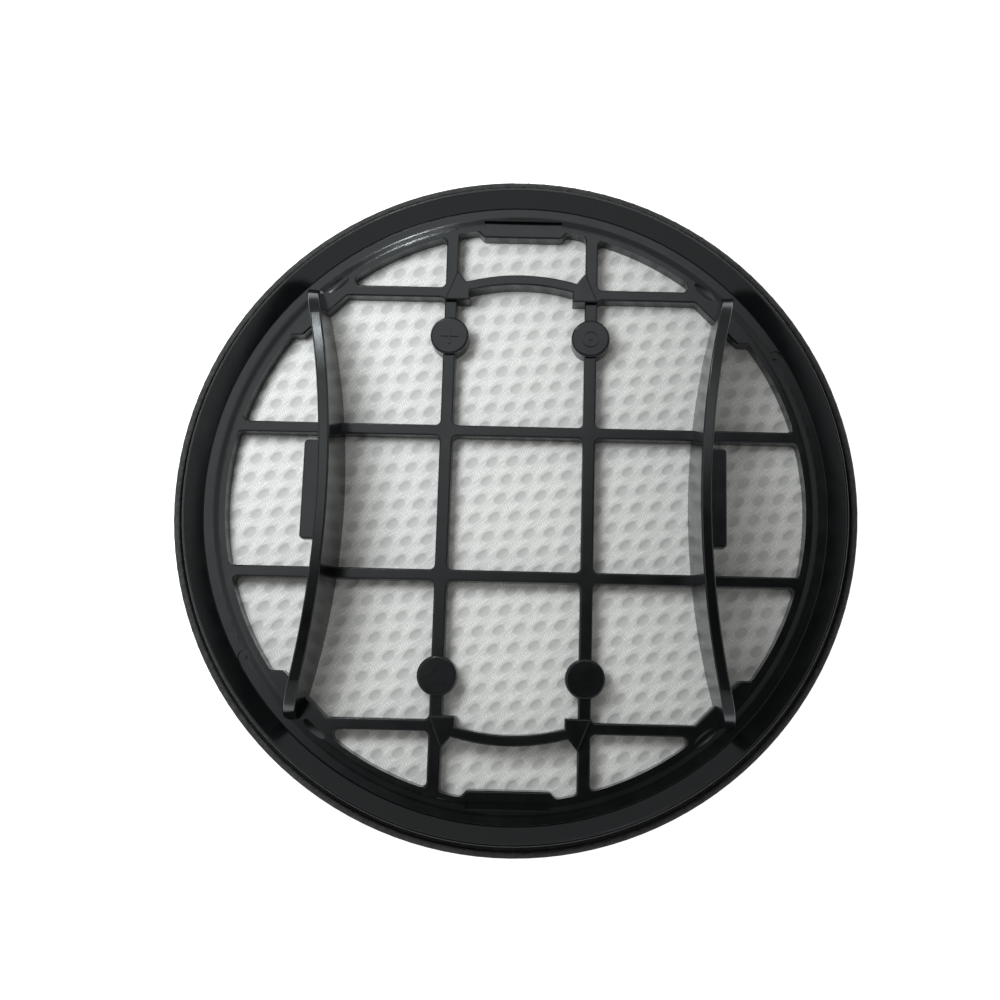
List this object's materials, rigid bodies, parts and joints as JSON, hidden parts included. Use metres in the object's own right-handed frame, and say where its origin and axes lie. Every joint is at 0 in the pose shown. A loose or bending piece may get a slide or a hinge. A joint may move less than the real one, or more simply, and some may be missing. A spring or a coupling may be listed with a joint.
{
  "type": "vacuum cleaner filter",
  "caption": "Round vacuum cleaner filter: black moulded cage with curved grip ribs and finger ledges over white mesh cloth and a felt pad, with a soft rim seal and a plain rear frame.",
  "frame": {"origin": "middle of the back face, where the rear frame rests", "axes": "+Z through the front of the filter, toward the grip ribs; +Y along the ribs; +X from one rib to the other"},
  "size_m": [0.1448, 0.1448, 0.028],
  "materials": {
    "cage_plastic": "smooth moulded black, half gloss",
    "rear_plastic": "smooth moulded black, satin",
    "mesh_fabric": "white open warp knit with slanting oval holes",
    "felt_fabric": "pale grey needled felt",
    "seal_rubber": "matt dark grey soft rubber"
  },
  "bodies": {
    "root": {"front_frame": "cage_plastic", "rear_frame": "rear_plastic", "mesh_cloth": "mesh_fabric", "filter_felt": "felt_fabric", "rim_seal": "seal_rubber"}
  },
  "joints": []
}
